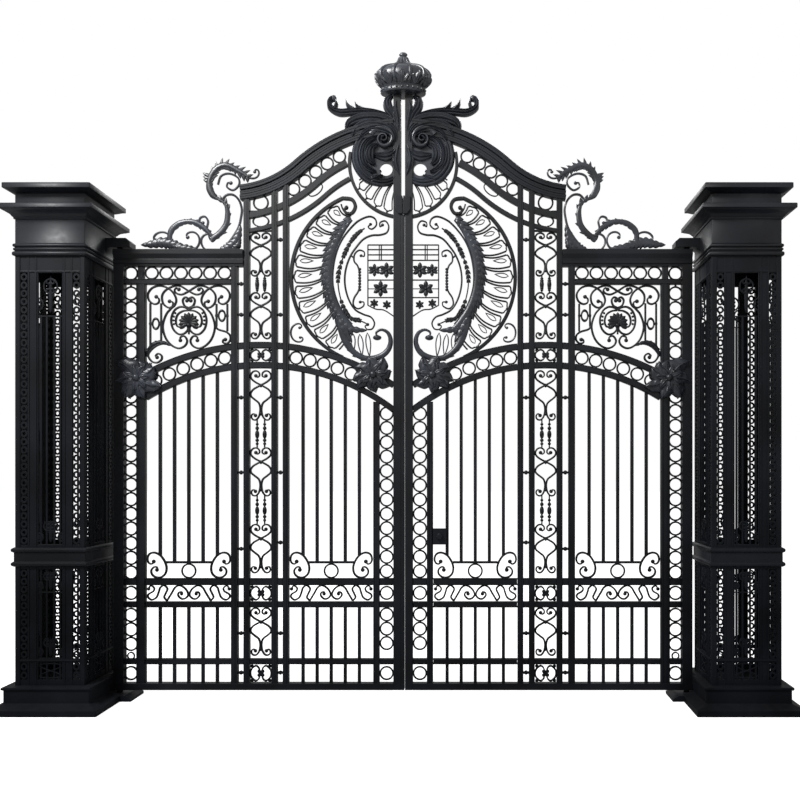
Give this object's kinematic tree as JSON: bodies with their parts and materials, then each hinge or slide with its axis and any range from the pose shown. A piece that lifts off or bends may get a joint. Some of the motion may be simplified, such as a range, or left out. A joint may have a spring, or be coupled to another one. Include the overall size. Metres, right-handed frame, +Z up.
{
  "type": "double driveway gate",
  "caption": "Wrought iron double driveway gate with ogee crest, scrollwork and a crown, hung between two openwork square posts.",
  "frame": {"origin": "centre of the underside of the left post's plinth, on the ground", "axes": "+X along the gate towards the right post, +Y into the property (the way the leaves open), +Z up; the front faces -Y"},
  "size_m": [5.52, 0.74, 4.709],
  "materials": {
    "iron": "satin near-black paint"
  },
  "bodies": {
    "posts": {"left_fence_stubs": "iron", "left_pivot_arm": "iron", "left_pivot_shoe": "iron", "left_post_cap": "iron", "left_post_head": "iron", "left_post_mid_band": "iron", "left_post_plinth": "iron", "left_post_shaft": "iron", "right_fence_stubs": "iron", "right_pivot_arm": "iron", "right_pivot_shoe": "iron", "right_post_cap": "iron", "right_post_head": "iron", "right_post_mid_band": "iron", "right_post_plinth": "iron", "right_post_shaft": "iron"},
    "left_leaf": {"astragal": "iron", "crown": "iron", "left_acanthus_crest": "iron", "left_bottom_rail": "iron", "left_catch_box": "iron", "left_crest_panel": "iron", "left_crest_rail": "iron", "left_hanging_ring_column": "iron", "left_hanging_stile": "iron", "left_heel_boss": "iron", "left_inner_bay": "iron", "left_meeting_boss": "iron", "left_meeting_ring_column": "iron", "left_meeting_stile": "iron", "left_outer_bay": "iron", "left_pilaster": "iron", "left_rosette": "iron", "left_side_cornice": "iron", "left_side_crest": "iron", "left_side_panel": "iron"},
    "right_leaf": {"lock_box": "iron", "right_acanthus_crest": "iron", "right_bottom_rail": "iron", "right_catch_box": "iron", "right_crest_panel": "iron", "right_crest_rail": "iron", "right_hanging_ring_column": "iron", "right_hanging_stile": "iron", "right_heel_boss": "iron", "right_inner_bay": "iron", "right_meeting_boss": "iron", "right_meeting_ring_column": "iron", "right_meeting_stile": "iron", "right_outer_bay": "iron", "right_pilaster": "iron", "right_rosette": "iron", "right_side_cornice": "iron", "right_side_crest": "iron", "right_side_panel": "iron"}
  },
  "joints": [
    {"name": "left_leaf_swing", "type": "hinge", "parent": "posts", "child": "left_leaf", "pos_m": [0.323, 0.137, 0.06], "axis": [0, 0, 1], "range_deg": [0, 90]},
    {"name": "right_leaf_swing", "type": "hinge", "parent": "posts", "child": "right_leaf", "pos_m": [4.457, 0.137, 0.06], "axis": [0, 0, -1], "range_deg": [0, 90]}
  ]
}
